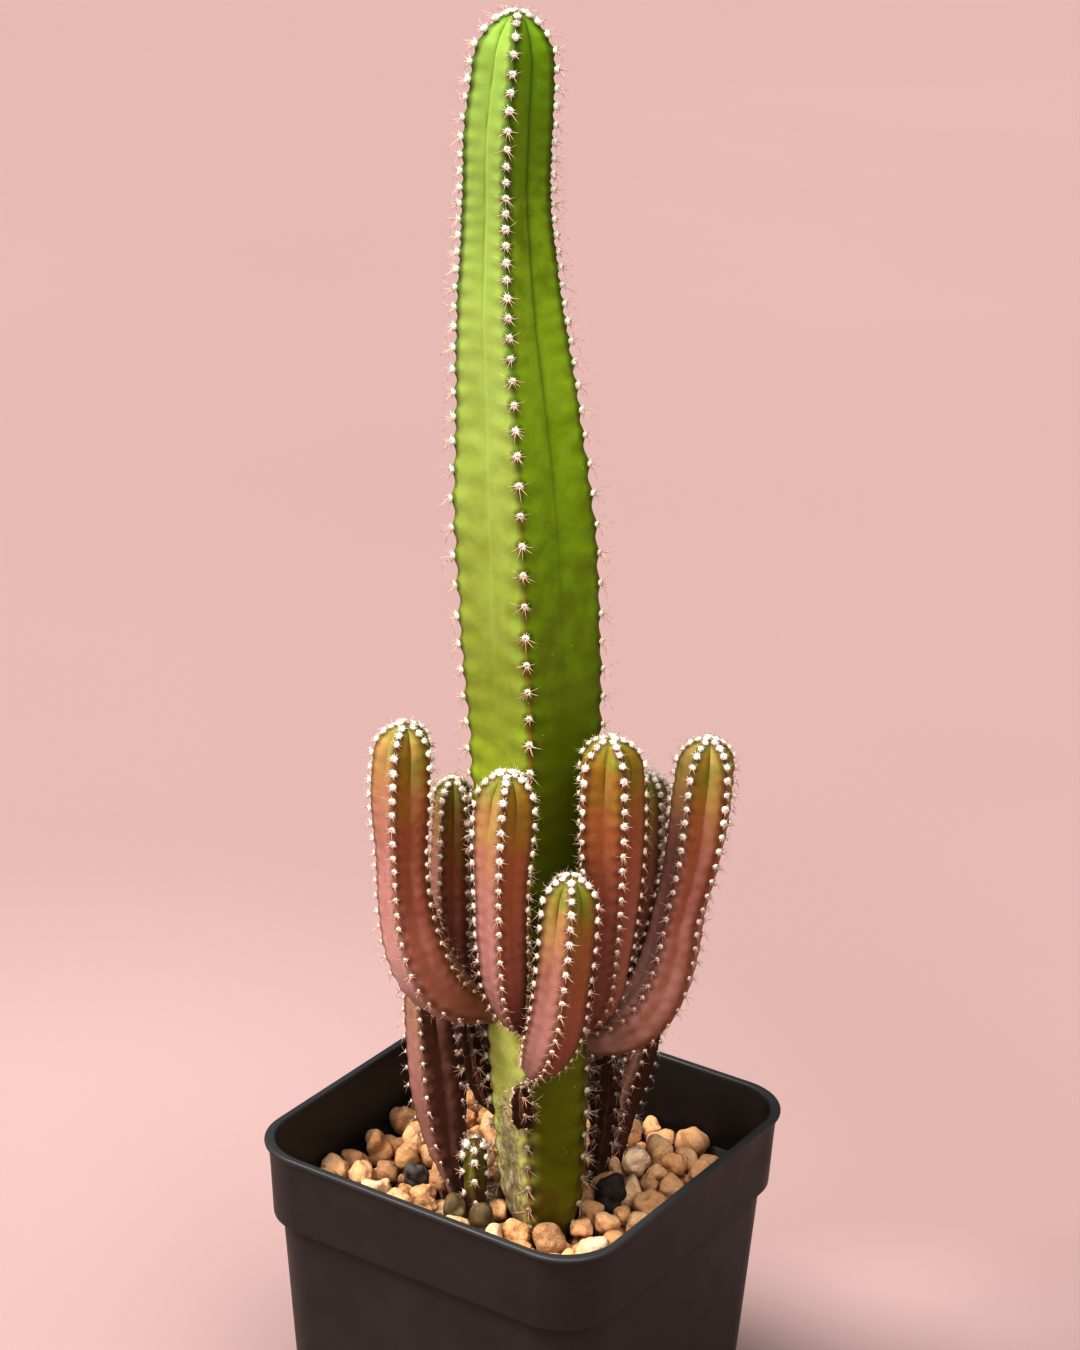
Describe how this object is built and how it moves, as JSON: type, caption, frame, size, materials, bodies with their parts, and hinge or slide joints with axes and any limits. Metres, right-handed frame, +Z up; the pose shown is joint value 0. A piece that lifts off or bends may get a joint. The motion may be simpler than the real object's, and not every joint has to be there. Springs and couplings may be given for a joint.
{
  "type": "potted fairy castle cactus",
  "caption": "Fairy castle cactus in a square plastic nursery pot: a tall ribbed column with a ring of young branches round its lower stem, above tan gravel.",
  "frame": {"origin": "on the surface that the pot stands on, under the middle of its base", "axes": "+Z is up along the plant, +X and +Y run along the pot's sides; the side that the picture shows most looks to -Y and +X"},
  "size_m": [0.0904, 0.09, 0.3365],
  "materials": {
    "pot_plastic": "satin",
    "potting_mix": "matte",
    "gravel": "matte",
    "grey_stone": "matte",
    "olive_stone": "matte",
    "charcoal": "matte",
    "column_skin": "satin",
    "branch_skin": "satin",
    "shoot_skin": "satin",
    "pup_skin": "satin",
    "withered_skin": "matte"
  },
  "bodies": {
    "root": {"pot": "pot_plastic", "potting_mix": "potting_mix", "gravel": "gravel", "grey_stone": "grey_stone", "olive_stone_left": "olive_stone", "olive_stone_right": "olive_stone", "charcoal_lump": "charcoal", "main_stem": "column_skin", "branch_far_left": "branch_skin", "branch_rear_left": "branch_skin", "branch_front_left": "branch_skin", "branch_front_low": "branch_skin", "branch_front_right": "branch_skin", "branch_rear_right": "branch_skin", "branch_far_right": "branch_skin", "basal_shoot_left": "shoot_skin", "basal_shoot_right": "shoot_skin", "pup": "pup_skin", "withered_bud": "withered_skin", "withered_shoot_right": "withered_skin", "withered_shoot_left": "withered_skin"}
  },
  "joints": []
}
